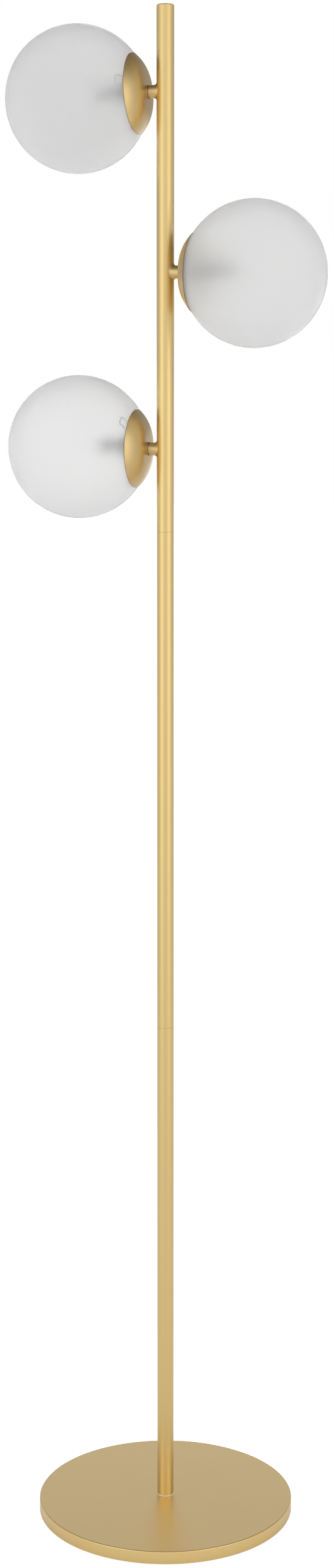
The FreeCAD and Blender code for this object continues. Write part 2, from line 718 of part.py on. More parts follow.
def make_leads():
    bend_top = "outlet_height + lead_bend"
    main = bent_lead(
        "main", "lead_radius", "lead_bend",
        ("0", "0", bend_top, "splice_foot - (%s)" % bend_top),
        ("outlet_height", "bush_inner_face - lead_bush_gap - lead_bend"), bend_top, 180)
    keep(turn_heading(main, CORD_HEADING), "main_lead")
    keep(cylinder("splice", "splice_radius", "splice_height", "splice_foot"), "wire_splice")
    for arm in ARMS:
        across, aside = ("%d * arm_lead_offset" % share for share in arm["lead_shares"])
        bend_foot = arm["height"] + " - arm_lead_bend"
        # the lead stays level in its sloping bore, so its end face is held back from the contacts
        reach = "(contact_foot - arm_lead_radius * abs(sin(%g))) / cos(%g)" % (arm["droop"], arm["droop"])
        lead = bent_lead(
            "arm_wire_%d" % arm["number"], "arm_lead_radius", "arm_lead_bend",
            (across, aside, "splice_top", bend_foot + " - splice_top"),
            (arm["height"], "%s - %s - arm_lead_bend" % (reach, across)), bend_foot, 90)
        keep(turn_heading(lead, 0 if arm["side"] > 0 else 180), "arm_lead_%d" % arm["number"])


def check_document():
    for item in doc.Objects:
        if "Invalid" in item.State or "Error" in item.State:
            raise RuntimeError("%s failed: %s" % (item.Name, item.State))
    for label, item in PARTS.items():
        if item.Shape.isNull() or not item.Shape.isValid() or item.Shape.Volume <= 0:
            raise RuntimeError("%s has no sound solid" % label)


make_base()
make_pole()
make_arms()
make_leads()
doc.recompute()
check_document()
os.makedirs("parts", exist_ok=True)
for label, item in PARTS.items():
    item.Shape.exportStep("parts/%s.step" % label)
print("%d sub-parts, %.1f mm tall" % (len(PARTS), number("pole_top + cap_height")))
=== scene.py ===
import math

import bmesh
import bpy
from mathutils import Matrix, Vector


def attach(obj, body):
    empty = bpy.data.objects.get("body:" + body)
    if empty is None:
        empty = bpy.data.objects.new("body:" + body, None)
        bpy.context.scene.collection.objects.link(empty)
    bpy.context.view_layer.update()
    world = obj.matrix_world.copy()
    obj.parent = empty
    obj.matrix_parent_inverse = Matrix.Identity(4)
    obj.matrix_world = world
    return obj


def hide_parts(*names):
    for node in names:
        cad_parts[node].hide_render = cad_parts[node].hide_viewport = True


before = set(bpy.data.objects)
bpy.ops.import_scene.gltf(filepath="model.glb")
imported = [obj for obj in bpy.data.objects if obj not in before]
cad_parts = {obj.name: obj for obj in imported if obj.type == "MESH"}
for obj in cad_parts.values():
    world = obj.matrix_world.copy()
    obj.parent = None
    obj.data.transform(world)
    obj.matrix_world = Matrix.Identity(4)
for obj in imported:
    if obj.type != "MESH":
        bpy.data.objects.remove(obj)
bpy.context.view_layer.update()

# The lamp's own measures, in metres; droops in degrees below level
ARMS = (
    {"number": 1, "side": -1, "height": 1.5328, "droop": 2.5},
    {"number": 2, "side": 1, "height": 1.3508, "droop": 2.4},
    {"number": 3, "side": -1, "height": 1.1688, "droop": -1.6},
)

# Places along an arm from the pole's middle, and radii about the arm's own line
GLOBE_CENTRE = 0.095817
GLOBE_RADIUS = 0.07499
GLOBE_WALL = 0.003
GLOBE_MOUTH = 0.02794
LIP_ROUNDING = 0.0013
# The joint line is a ring of painted shade for the shadow in the gap where each stub meets its collar.
JOINT_REACH = 0.01735
JOINT_WIDTH = 0.0009
JOINT_RADIUS = 0.00688
# The rim line is a ring of painted shade for the shadow along each dish's rim where it meets the globe.
RIM_REACH = 0.0317
RIM_WIDTH = 0.0003
RIM_RADIUS = 0.04077
SOCKET_FRONT = 0.048
RIVET_OFFSET = 0.0083
RIVET_RADIUS = 0.0011
RIVET_RISE = 0.0005
BULB_FOOT = 0.0483
BULB_LENGTH = 0.028
BULB_RADIUS = 0.007
BULB_SHOULDER = 0.0015
BULB_WALL = 0.0008
PINCH_FOOT = 0.0363
PINCH_WIDTH = 0.0136
PINCH_THICKNESS = 0.0056
PINCH_ROUNDING = 0.0011
FILAMENT_RADIUS = 0.0011
FILAMENT_WIRE = 0.00016
FILAMENT_PITCH = 0.0009
FILAMENT_TURNS = 10
FILAMENT_FOOT = 0.0565
POST_RADIUS = 0.00025
POST_OFFSET = 0.0030

# How finely the new pieces are divided
GLOBE_SIDES = 112
GLOBE_RINGS = 64
LIP_STEPS = 4
LINE_STEPS = 96
LINE_CORNERS = 4
RIVET_SIDES = 20
RIVET_RINGS = 12
BULB_SIDES = 40
DOME_STEPS = 12
SHOULDER_STEPS = 4
PINCH_STEPS = 3
FILAMENT_STEPS = 16
FILAMENT_SIDES = 6
POST_SIDES = 10
CROSS_WIRE_SIDES = 8
FLOOR_SIDES = 96

# Turns, directions and settings that the shapes share; an arm's own line is the Z axis
FULL_TURN = 2.0 * math.pi
QUARTER_TURN = math.pi / 2.0
EIGHTH_TURN = math.pi / 4.0
ORIGIN = (0.0, 0.0, 0.0)
SIDEWAYS = (0.0, 1.0, 0.0)
OUTWARDS = (0.0, 0.0, 1.0)
INWARDS = (0.0, 0.0, -1.0)
MERGE_DISTANCE = 0.000002
LIP_ANGLE = 1.0
ROUND_PROFILE = 0.5
NEIGHBOURS_MATERIAL = -1
MATRIX_SIZE = 3

# The camera, as fitted to the photograph: degrees, metres and pixels of the full image
CAMERA_AZIMUTH = 17.9
CAMERA_PITCH = 8.01
CAMERA_TURN = 0.04
CAMERA_DISTANCE = 2.425
CAMERA_HEIGHT = 1.156
CAMERA_LEVEL = 90.0
FOCAL_PIXELS = 3763.0
IMAGE_HEIGHT = 2576
SENSOR = 36.0
CLIP_START = 0.05
CLIP_END = 200.0

# The studio, in degrees and metres, with plain levels where 1 is white
SOFTBOX_REACH = 2.0
SOFTBOX_HEIGHT = 1.15
SOFTBOX_TURN = 49.0
SOFTBOX_WIDTH = 1.3
SOFTBOX_TALL = 1.9
SOFTBOX_RADIANCE = 0.7
BACK_LAMP_TURN = 180.0
BACK_LAMP_HEIGHT = 0.95
BACK_LAMP_WIDTH = 2.4
BACK_LAMP_TALL = 0.9
BACK_LAMP_RADIANCE = 0.5
ROOM_LEVEL = 1.5
ROOM_OVERHEAD = 0.9
ROOM_LOW_EDGE = 0.2
ROOM_HIGH_EDGE = 0.8
GLOSSY_FRONT = 0.92
GLOSSY_BACK = 0.3
GLOSSY_OVERHEAD = 0.12
GLOSSY_FRONT_LEAN = 0.2
GLOSSY_LOW_EDGE = 0.34
GLOSSY_HIGH_EDGE = 0.7
WHITE = (1.0, 1.0, 1.0)
FLOOR_RADIUS = 60.0
FLOOR_WHITE = (0.55, 0.55, 0.55)
FLOOR_GLOW = 0.7
FLOOR_MIRRORED_GLOW = 0.05

# Grain, clouding and brush lines, as scales per metre, depths in metres and shares of one
GRAIN_DETAIL = 2.0
GRAIN_ROUGHNESS = 0.6
GRAIN_SHARE = 0.6
CLOUD_DETAIL = 3.0
CLOUD_ROUGHNESS = 0.55
CLOUD_SHARE = 0.4
NOISE_MIDDLE = 0.5
BRUSH_DETAIL = 3.0
BRUSH_ROUGHNESS = 0.65
BRUSH_SCALE = 2600.0
BRUSH_DEPTH = 0.000006
DRAWN_STRETCH = (1.0, 1.0, 0.004)

# Finishes, with colours as linear red, green and blue
POLE_BRASS = (0.84, 0.62, 0.25)
# The dish brass is the pole's brass made darker: painted shade on the dishes, stubs and collars.
DISH_BRASS_PAINTED_SHADE = (0.735, 0.535, 0.225)
# The foot brass is the pole's brass made lighter: painted light on the base cover and the top cap.
FOOT_BRASS_PAINTED_LIGHT = (0.93, 0.68, 0.272)
BRASS_GRAIN = {
    "roughness": 0.44, "metallic": 1.0, "grain_scale": 1400.0, "cloud_scale": 18.0,
    "colour_spread": 0.10, "roughness_spread": 0.10, "depth": 0.000012,
    "extras": {"Coat Weight": 1.0, "Coat Roughness": 0.30, "Coat IOR": 1.5},
}
PLAIN_FINISHES = {
    "zinc_plate": {
        "colour": (0.55, 0.56, 0.56), "roughness": 0.38, "metallic": 1.0, "grain_scale": 420.0,
        "cloud_scale": 60.0, "colour_spread": 0.3, "roughness_spread": 0.25},
    "spring_steel": {
        "colour": (0.42, 0.42, 0.43), "roughness": 0.28, "metallic": 1.0, "grain_scale": 900.0},
    "turned_brass": {
        "colour": (0.72, 0.50, 0.22), "roughness": 0.25, "metallic": 1.0, "grain_scale": 700.0},
    "cast_iron": {
        "colour": (0.035, 0.035, 0.038), "roughness": 0.7, "metallic": 0.2, "grain_scale": 450.0,
        "cloud_scale": 70.0, "colour_spread": 0.8, "depth": 0.0003},
    "foot_rubber": {
        "colour": (0.018, 0.018, 0.018), "roughness": 0.85, "grain_scale": 700.0,
        "colour_spread": 0.4, "depth": 0.00015},
    "black_plastic": {
        "colour": (0.022, 0.022, 0.023), "roughness": 0.5, "grain_scale": 900.0, "depth": 0.00004},
    "pale_plastic": {"colour": (0.66, 0.60, 0.44), "roughness": 0.4, "grain_scale": 600.0},
    "lead_sheath": {"colour": (0.66, 0.63, 0.56), "roughness": 0.55, "grain_scale": 500.0},
    # The lampholder's ceramic is a dark grey instead of its own off-white: painted shade, so that it shows
    # as the dark patch seen through the globe near the dish.
    "socket_ceramic": {
        "colour": (0.26, 0.25, 0.24), "roughness": 0.6, "grain_scale": 800.0, "cloud_scale": 120.0,
        "colour_spread": 0.12, "depth": 0.00003},
    "etched_glass": {
        "colour": (1.0, 1.0, 1.0), "roughness": 0.55, "grain_scale": 2200.0, "cloud_scale": 9.0,
        "colour_spread": 0.02, "roughness_spread": 0.05, "depth": 0.00001,
        "extras": {"Transmission Weight": 0.85, "IOR": 1.27}},
    # The bulb's glass is a dark grey rather than clear: painted shade that deepens the dark patch seen
    # through the globe near the dish.
    "bulb_glass": {
        "colour": (0.42, 0.42, 0.42), "roughness": 0.4, "grain_scale": 1800.0, "cloud_scale": 60.0,
        "colour_spread": 0.02, "roughness_spread": 0.08, "depth": 0.000006,
        "extras": {"Transmission Weight": 0.5, "IOR": 1.46}},
    # Dark brown painted shade for the joint line: it stands in for the shadow in the gap between each stub
    # and its collar.
    "joint_painted_shade": {
        "colour": (0.11, 0.07, 0.03), "roughness": 0.6, "metallic": 1.0, "grain_scale": 900.0,
        "colour_spread": 0.5},
    # Dark brown painted shade for the rim line: it stands in for the shadow where each dish's rim meets
    # its glass globe.
    "rim_painted_shade": {
        "colour": (0.30, 0.20, 0.09), "roughness": 0.5, "metallic": 1.0, "grain_scale": 900.0,
        "colour_spread": 0.3},
    "tungsten": {
        "colour": (0.30, 0.30, 0.31), "roughness": 0.35, "metallic": 1.0, "grain_scale": 2500.0},
}

# Which finish each of the frame's own pieces has
SHARED_FINISHES = {
    "base_cover": "spun_brass_coat_foot",
    "base_weight": "cast_iron",
    "base_pad": "foot_rubber",
    "base_stud": "zinc_plate",
    "base_nut": "zinc_plate",
    "base_lock_washer": "zinc_plate",
    "foot_washer": "pale_plastic",
    "cord_bush": "black_plastic",
    "pole_lower": "drawn_brass_coat",
    "pole_middle": "drawn_brass_coat",
    "pole_upper": "drawn_brass_coat",
    "foot_ferrule": "zinc_plate",
    "lower_joint_stud": "zinc_plate",
    "lower_joint_socket": "zinc_plate",
    "upper_joint_stud": "zinc_plate",
    "upper_joint_socket": "zinc_plate",
    "top_cap": "spun_brass_coat_foot",
    "main_lead": "lead_sheath",
    "wire_splice": "black_plastic",
}
SPUN_STEMS = ("arm_stub", "arm_collar", "dish")
ARM_FINISHES = {
    "nipple": "turned_brass",
    "nipple_nut": "turned_brass",
    "clip_carrier": "zinc_plate",
    "spring_clips": "spring_steel",
    "socket": "socket_ceramic",
    "socket_contacts": "turned_brass",
    "bulb": "bulb_glass",
    "bulb_pins": "spring_steel",
    "globe": "etched_glass",
    "arm_lead": "lead_sheath",
}


# Node helpers

class Tree:
    """A small hand for building node trees."""

    def __init__(self, tree):
        self.tree = tree
        tree.nodes.clear()

    def add(self, kind, **settings):
        node = self.tree.nodes.new(kind)
        for name, value in settings.items():
            setattr(node, name, value)
        return node

    def join(self, source, target):
        self.tree.links.new(source, target)

    def feed(self, socket, value):
        """Link a socket into another, or set a plain value on it."""
        if isinstance(value, bpy.types.NodeSocket):
            self.join(value, socket)
        elif isinstance(value, tuple) and len(value) == 3 and socket.type == "RGBA":
            socket.default_value = (*value, 1.0)
        else:
            socket.default_value = value

    def math(self, operation, first, second=0.0, clamp=False):
        node = self.add("ShaderNodeMath", operation=operation, use_clamp=clamp)
        self.feed(node.inputs[0], first)
        self.feed(node.inputs[1], second)
        return node.outputs[0]

    def remap(self, value, low, high, to_low, to_high):
        node = self.add("ShaderNodeMapRange")
        for name, item in (("Value", value), ("From Min", low), ("From Max", high),
                           ("To Min", to_low), ("To Max", to_high)):
            self.feed(node.inputs[name], item)
        return node.outputs["Result"]

    def noise(self, vector, scale, detail, roughness):
        node = self.add("ShaderNodeTexNoise")
        self.feed(node.inputs["Vector"], vector)
        self.feed(node.inputs["Scale"], scale)
        node.inputs["Detail"].default_value = detail
        node.inputs["Roughness"].default_value = roughness
        return node.outputs["Fac"]

    def mix(self, share, first, second):
        node = self.add("ShaderNodeMix", data_type="RGBA", blend_type="MIX")
        self.feed(node.inputs["Factor"], share)
        colours = [socket for socket in node.inputs if socket.type == "RGBA"]
        self.feed(colours[0], first)
        self.feed(colours[1], second)
        return [socket for socket in node.outputs if socket.type == "RGBA"][0]

    def bump(self, height, distance):
        node = self.add("ShaderNodeBump")
        self.feed(node.inputs["Height"], height)
        self.feed(node.inputs["Distance"], distance)
        return node


def new_group(name, inputs, outputs):
    """An empty shader node group with named sockets; returns its tree, its inputs and its outputs."""
    group = bpy.data.node_groups.new(name, "ShaderNodeTree")
    kinds = {"vector": "NodeSocketVector", "value": "NodeSocketFloat", "colour": "NodeSocketColor"}
    for label, kind in inputs:
        group.interface.new_socket(label, in_out="INPUT", socket_type=kinds[kind])
    for label, kind in outputs:
        group.interface.new_socket(label, in_out="OUTPUT", socket_type=kinds[kind])
    tree = Tree(group)
    return tree, tree.add("NodeGroupInput").outputs, tree.add("NodeGroupOutput").inputs


def make_fine_grain():
    """Flake-fine grain and slow, faint clouding, as on a sprayed or brushed metal finish."""
    tree, given, out = new_group(
        "fine_grain",
        [("Vector", "vector"), ("Colour", "colour"), ("Grain Scale", "value"), ("Cloud Scale", "value"),
         ("Colour Spread", "value"), ("Roughness", "value"), ("Roughness Spread", "value"),
         ("Depth", "value")],
        [("Colour", "colour"), ("Roughness", "value"), ("Normal", "vector")])
    grain = tree.noise(given["Vector"], given["Grain Scale"], GRAIN_DETAIL, GRAIN_ROUGHNESS)
    cloud = tree.noise(given["Vector"], given["Cloud Scale"], CLOUD_DETAIL, CLOUD_ROUGHNESS)
    both = tree.math("ADD", tree.math("MULTIPLY", grain, GRAIN_SHARE),
                     tree.math("MULTIPLY", cloud, CLOUD_SHARE))
    centred = tree.math("SUBTRACT", both, NOISE_MIDDLE)
    gain = tree.math("ADD", tree.math("MULTIPLY", centred, given["Colour Spread"]), 1.0)
    tint = tree.add("ShaderNodeVectorMath", operation="SCALE")
    tree.feed(tint.inputs[0], given["Colour"])
    tree.feed(tint.inputs["Scale"], gain)
    tree.join(tint.outputs[0], out["Colour"])
    rough = tree.math("ADD", given["Roughness"],
                      tree.math("MULTIPLY", centred, given["Roughness Spread"]), clamp=True)
    tree.join(rough, out["Roughness"])
    tree.join(tree.bump(grain, given["Depth"]).outputs["Normal"], out["Normal"])
    return tree.tree


def make_brush_lines():
    """Fine parallel or circular brush lines, from coordinates already drawn out along the lines."""
    tree, given, out = new_group(
        "brush_lines",
        [("Vector", "vector"), ("Scale", "value"), ("Depth", "value"), ("Normal", "vector")],
        [("Normal", "vector")])
    lines = tree.noise(given["Vector"], given["Scale"], BRUSH_DETAIL, BRUSH_ROUGHNESS)
    bump = tree.bump(lines, given["Depth"])
    tree.join(given["Normal"], bump.inputs["Normal"])
    tree.join(bump.outputs["Normal"], out["Normal"])
    return tree.tree


FINE_GRAIN = make_fine_grain()
BRUSH_LINES = make_brush_lines()


def use_group(tree, group, **values):
    node = tree.add("ShaderNodeGroup", node_tree=group)
    for name, value in values.items():
        tree.feed(node.inputs[name.replace("_", " ")], value)
    return node.outputs


# Finishes

def grained(name, colour, roughness, metallic=0.0, grain_scale=900.0, cloud_scale=30.0,
            colour_spread=0.15, roughness_spread=0.12, depth=0.00002, extras=None):
    """A plain finish with grain; returns the material and the parts that a caller may add to."""
    material = bpy.data.materials.new(name)
    material.use_nodes = True
    tree = Tree(material.node_tree)
    shader = tree.add("ShaderNodeBsdfPrincipled")
    output = tree.add("ShaderNodeOutputMaterial")
    tree.join(shader.outputs["BSDF"], output.inputs["Surface"])
    coordinates = tree.add("ShaderNodeTexCoord").outputs["Object"]
    grain = use_group(tree, FINE_GRAIN, Vector=coordinates, Colour=colour, Grain_Scale=grain_scale,
                      Cloud_Scale=cloud_scale, Colour_Spread=colour_spread, Roughness=roughness,
                      Roughness_Spread=roughness_spread, Depth=depth)
    sockets = shader.inputs
    tree.join(grain["Colour"], sockets["Base Color"])
    tree.join(grain["Roughness"], sockets["Roughness"])
    tree.join(grain["Normal"], sockets["Normal"])
    sockets["Metallic"].default_value = metallic
    for label, value in (extras or {}).items():
        sockets[label].default_value = value
    return material, tree, sockets, coordinates, grain


def along(tree, coordinates, stretch):
    """Coordinates squeezed along an axis, so that noise drawn on them runs in lines."""
    mapping = tree.add("ShaderNodeMapping", vector_type="POINT")
    tree.join(coordinates, mapping.inputs["Vector"])
    mapping.inputs["Scale"].default_value = stretch
    return mapping.outputs["Vector"]


def rings(tree, coordinates, centre, tilt, axis):
    """Coordinates that change only with the distance from an axis and along it, for turned marks."""
    mapping = tree.add("ShaderNodeMapping", vector_type="TEXTURE")
    tree.join(coordinates, mapping.inputs["Vector"])
    mapping.inputs["Location"].default_value = centre
    mapping.inputs["Rotation"].default_value = (0.0, tilt, 0.0)
    split = tree.add("ShaderNodeSeparateXYZ")
    tree.join(mapping.outputs["Vector"], split.inputs[0])
    across = [split.outputs[name] for name in "XYZ" if name != axis]
    squares = [tree.math("MULTIPLY", item, item) for item in across]
    reach = tree.math("SQRT", tree.math("ADD", *squares))
    joined = tree.add("ShaderNodeCombineXYZ")
    tree.join(reach, joined.inputs["X"])
    tree.join(split.outputs[axis], joined.inputs["Y"])
    return joined.outputs[0]


def lacquered_brass(name, colour, lines, *place):
    """Satin brass under a clear coat, with faint brush lines on the coordinates that lines makes."""
    material, tree, sockets, coordinates, grain = grained(name, colour, **BRASS_GRAIN)
    brushed = use_group(tree, BRUSH_LINES, Vector=lines(tree, coordinates, *place), Scale=BRUSH_SCALE,
                        Depth=BRUSH_DEPTH, Normal=grain["Normal"])
    tree.join(brushed["Normal"], sockets["Normal"])
    return material


def make_finishes():
    """Every finish by name. Each arm has its own spun brass, whose turned marks run round that arm."""
    finishes = {name: grained(name, **values)[0] for name, values in PLAIN_FINISHES.items()}
    finishes["drawn_brass_coat"] = lacquered_brass("drawn_brass_coat", POLE_BRASS, along, DRAWN_STRETCH)
    finishes["spun_brass_coat_foot"] = lacquered_brass(
        "spun_brass_coat_foot", FOOT_BRASS_PAINTED_LIGHT, rings, ORIGIN, 0.0, "Z")
    for arm in ARMS:
        # Each arm's spun brass takes the darker dish colour, which is painted shade.
        name = "spun_brass_coat_%d" % arm["number"]
        centre = (0.0, 0.0, arm["height"])
        tilt = arm["side"] * math.radians(arm["droop"])
        finishes[name] = lacquered_brass(name, DISH_BRASS_PAINTED_SHADE, rings, centre, tilt, "X")
    return finishes


def finish_nodes(finishes):
    """Put the finishes on the frame's own pieces."""
    chosen = dict(SHARED_FINISHES)
    for arm in ARMS:
        number = arm["number"]
        for stem in SPUN_STEMS:
            chosen["%s_%d" % (stem, number)] = "spun_brass_coat_%d" % number
        for stem, finish in ARM_FINISHES.items():
            chosen["%s_%d" % (stem, number)] = finish
    for name, finish in chosen.items():
        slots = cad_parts[name].data.materials
        slots.clear()
        slots.append(finishes[finish])


# Detail pieces, each made standing along the Z axis and then laid onto its arm

def arm_frame(arm):
    """The turn and place that lay a piece onto an arm: its Z axis outwards and its X axis up."""
    slope = math.radians(arm["droop"])
    out = Vector((arm["side"] * math.cos(slope), 0.0, -math.sin(slope)))
    up = Vector((arm["side"] * math.sin(slope), 0.0, math.cos(slope)))
    axes = Matrix((up, out.cross(up), out)).transposed().to_4x4()
    return Matrix.Translation((0.0, 0.0, arm["height"])) @ axes


def finish_piece(sheet, name, material, arm, body):
    """Lay the shape onto its arm and make it a smooth object that rides on a body."""
    bmesh.ops.transform(sheet, matrix=arm_frame(arm), verts=sheet.verts)
    mesh = bpy.data.meshes.new(name)
    sheet.to_mesh(mesh)
    sheet.free()
    for face in mesh.polygons:
        face.use_smooth = True
    mesh.materials.append(material)
    piece = bpy.data.objects.new(name, mesh)
    bpy.context.scene.collection.objects.link(piece)
    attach(piece, body)
    return piece


def rotate(sheet, verts, angle, axis):
    bmesh.ops.rotate(sheet, cent=ORIGIN, matrix=Matrix.Rotation(angle, MATRIX_SIZE, axis), verts=verts)


def round_edges(sheet, edges, rounding, steps):
    bmesh.ops.bevel(sheet, geom=edges, offset=rounding, offset_type="OFFSET", affect="EDGES",
                    segments=steps, profile=ROUND_PROFILE, material=NEIGHBOURS_MATERIAL)


def spin_closed(sheet, edges, steps):
    """Turn an outline once round the Z axis and close its seam and poles."""
    bmesh.ops.spin(sheet, geom=edges, cent=ORIGIN, axis=OUTWARDS, angle=FULL_TURN, steps=steps,
                   use_merge=True)
    bmesh.ops.remove_doubles(sheet, verts=sheet.verts, dist=MERGE_DISTANCE)
    bmesh.ops.recalc_face_normals(sheet, faces=sheet.faces)


def make_globe(arm, material):
    """An etched glass ball with a round mouth and a softly rounded lip."""
    sheet = bmesh.new()
    bmesh.ops.create_uvsphere(sheet, u_segments=GLOBE_SIDES, v_segments=GLOBE_RINGS, radius=GLOBE_RADIUS)
    everything = sheet.verts[:] + sheet.edges[:] + sheet.faces[:]
    bmesh.ops.bisect_plane(sheet, geom=everything, plane_co=(0.0, 0.0, GLOBE_MOUTH - GLOBE_CENTRE),
                           plane_no=INWARDS, clear_outer=True)
    bmesh.ops.remove_doubles(sheet, verts=sheet.verts, dist=MERGE_DISTANCE)
    bmesh.ops.recalc_face_normals(sheet, faces=sheet.faces)
    bmesh.ops.solidify(sheet, geom=sheet.faces[:], thickness=GLOBE_WALL)
    lip = [edge for edge in sheet.edges
           if len(edge.link_faces) == 2 and edge.calc_face_angle(0.0) > LIP_ANGLE]
    round_edges(sheet, lip, LIP_ROUNDING, LIP_STEPS)
    bmesh.ops.translate(sheet, vec=(0.0, 0.0, GLOBE_CENTRE), verts=sheet.verts)
    number = arm["number"]
    piece = finish_piece(sheet, "etched_globe_%d" % number, material, arm, "globe_%d" % number)
    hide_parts("globe_%d" % number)


def make_shade_line(name, arm, material, reach, width, radius):
    """A fine dark ring, square in section: painted shade that stands in for the shadow in a joint's gap or
    along a dish's rim against the glass.
    """
    sheet = bmesh.new()
    corners = bmesh.ops.create_circle(sheet, cap_ends=True, segments=LINE_CORNERS,
                                      radius=width / math.sqrt(2.0))["verts"]
    rotate(sheet, corners, EIGHTH_TURN, "Z")
    rotate(sheet, corners, QUARTER_TURN, "X")
    bmesh.ops.translate(sheet, vec=(radius - width / 2.0, 0.0, reach), verts=corners)
    edges = sheet.edges[:]
    bmesh.ops.delete(sheet, geom=sheet.faces[:], context="FACES_ONLY")
    spin_closed(sheet, edges, LINE_STEPS)
    finish_piece(sheet, "%s_%d" % (name, arm["number"]), material, arm, "stand")


def make_rivets(arm, material):
    """Two domed rivet heads on the lampholder's face, one above the bulb and one below it."""
    sheet = bmesh.new()
    for side in (-1.0, 1.0):
        head = bmesh.ops.create_uvsphere(sheet, u_segments=RIVET_SIDES, v_segments=RIVET_RINGS,
                                         radius=RIVET_RADIUS)["verts"]
        bmesh.ops.scale(sheet, vec=(1.0, 1.0, RIVET_RISE / RIVET_RADIUS), verts=head)
        bmesh.ops.translate(sheet, vec=(side * RIVET_OFFSET, 0.0, SOCKET_FRONT), verts=head)
    finish_piece(sheet, "socket_rivets_%d" % arm["number"], material, arm, "stand")


def make_bulb_envelope(arm, material):
    """A hollow glass capsule with a domed end, on a flat pressed foot."""
    sheet = bmesh.new()
    top = sheet.verts.new((0.0, 0.0, BULB_LENGTH))
    bmesh.ops.spin(sheet, geom=[top], cent=(0.0, 0.0, BULB_LENGTH - BULB_RADIUS), axis=SIDEWAYS,
                   angle=QUARTER_TURN, steps=DOME_STEPS)
    widest = max(sheet.verts, key=lambda vert: vert.co.x)
    low = bmesh.ops.extrude_vert_indiv(sheet, verts=[widest])["verts"][0]
    low.co = (BULB_RADIUS, 0.0, BULB_SHOULDER)
    bmesh.ops.spin(sheet, geom=[low], cent=(BULB_RADIUS - BULB_SHOULDER, 0.0, BULB_SHOULDER),
                   axis=SIDEWAYS, angle=QUARTER_TURN, steps=SHOULDER_STEPS)
    foot = min(sheet.verts, key=lambda vert: (vert.co.z, vert.co.x))
    middle = bmesh.ops.extrude_vert_indiv(sheet, verts=[foot])["verts"][0]
    middle.co = ORIGIN
    spin_closed(sheet, sheet.edges[:], BULB_SIDES)
    bmesh.ops.solidify(sheet, geom=sheet.faces[:], thickness=BULB_WALL)
    bmesh.ops.translate(sheet, vec=(0.0, 0.0, BULB_FOOT), verts=sheet.verts)
    pinch = bmesh.ops.create_cube(sheet, size=1.0)["verts"]
    tall = BULB_FOOT - PINCH_FOOT
    bmesh.ops.scale(sheet, vec=(PINCH_THICKNESS, PINCH_WIDTH, tall), verts=pinch)
    bmesh.ops.translate(sheet, vec=(0.0, 0.0, PINCH_FOOT + tall / 2.0), verts=pinch)
    corners = list({edge for vert in pinch for edge in vert.link_edges})
    round_edges(sheet, corners, PINCH_ROUNDING, PINCH_STEPS)
    number = arm["number"]
    piece = finish_piece(sheet, "bulb_capsule_%d" % number, material, arm, "bulb_%d" % number)
    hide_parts("bulb_%d" % number)


def make_filament(arm, material):
    """A wound filament that stands between two posts inside the capsule."""
    sheet = bmesh.new()
    wire = bmesh.ops.create_circle(sheet, cap_ends=True, segments=FILAMENT_SIDES,
                                   radius=FILAMENT_WIRE)["verts"]
    rotate(sheet, wire, QUARTER_TURN, "X")
    bmesh.ops.translate(sheet, vec=(FILAMENT_RADIUS, 0.0, FILAMENT_FOOT), verts=wire)
    bmesh.ops.spin(sheet, geom=sheet.faces[:] + sheet.edges[:] + sheet.verts[:], cent=ORIGIN,
                   axis=OUTWARDS, dvec=(0.0, 0.0, FILAMENT_PITCH / FILAMENT_STEPS),
                   angle=FULL_TURN * FILAMENT_TURNS, steps=FILAMENT_TURNS * FILAMENT_STEPS)
    far_end = FILAMENT_FOOT + FILAMENT_PITCH * FILAMENT_TURNS
    for side, top in ((-1.0, FILAMENT_FOOT), (1.0, far_end)):
        tall = top - BULB_FOOT
        post = bmesh.ops.create_cone(sheet, cap_ends=True, segments=POST_SIDES, radius1=POST_RADIUS,
                                     radius2=POST_RADIUS, depth=tall)["verts"]
        bmesh.ops.translate(sheet, vec=(0.0, side * POST_OFFSET, BULB_FOOT + tall / 2.0), verts=post)
        cross_wire = bmesh.ops.create_cone(sheet, cap_ends=True, segments=CROSS_WIRE_SIDES,
                                           radius1=POST_RADIUS, radius2=FILAMENT_WIRE,
                                           depth=POST_OFFSET)["verts"]
        rotate(sheet, cross_wire, side * QUARTER_TURN, "X")
        bmesh.ops.translate(sheet, vec=(0.0, side * POST_OFFSET / 2.0, top), verts=cross_wire)
    bmesh.ops.recalc_face_normals(sheet, faces=sheet.faces)
    number = arm["number"]
    finish_piece(sheet, "filament_%d" % number, material, arm, "bulb_%d" % number)


def make_details(finishes):
    for arm in ARMS:
        make_globe(arm, finishes["etched_glass"])
        make_shade_line("joint_shade_line", arm, finishes["joint_painted_shade"], JOINT_REACH, JOINT_WIDTH, JOINT_RADIUS)
        make_shade_line("rim_shade_line", arm, finishes["rim_painted_shade"], RIM_REACH, RIM_WIDTH, RIM_RADIUS)
        make_rivets(arm, finishes["turned_brass"])
        make_bulb_envelope(arm, finishes["bulb_glass"])
        make_filament(arm, finishes["tungsten"])


# Studio

def heading(azimuth, reach, height):
    """The place at a distance from the pole in a compass direction, 0 being square to the arms."""
    turn = math.radians(azimuth)
    return Vector((reach * math.sin(turn), -reach * math.cos(turn), height))


def add_softbox(name, azimuth, height, width, tall, radiance, aim_height):
    """A rectangular lamp that faces a place on the pole."""
    data = bpy.data.lights.new(name, "AREA")
    data.shape = "RECTANGLE"
    data.size = width
    data.size_y = tall
    data.energy = radiance * width * tall * math.pi
    lamp = bpy.data.objects.new(name, data)
    lamp.location = heading(azimuth, SOFTBOX_REACH, height)
    aim = Vector((0.0, 0.0, aim_height)) - lamp.location
    lamp.rotation_euler = aim.to_track_quat("-Z", "Y").to_euler()
    lamp.visible_camera = False
    lamp.visible_transmission = False
    bpy.context.scene.collection.objects.link(lamp)


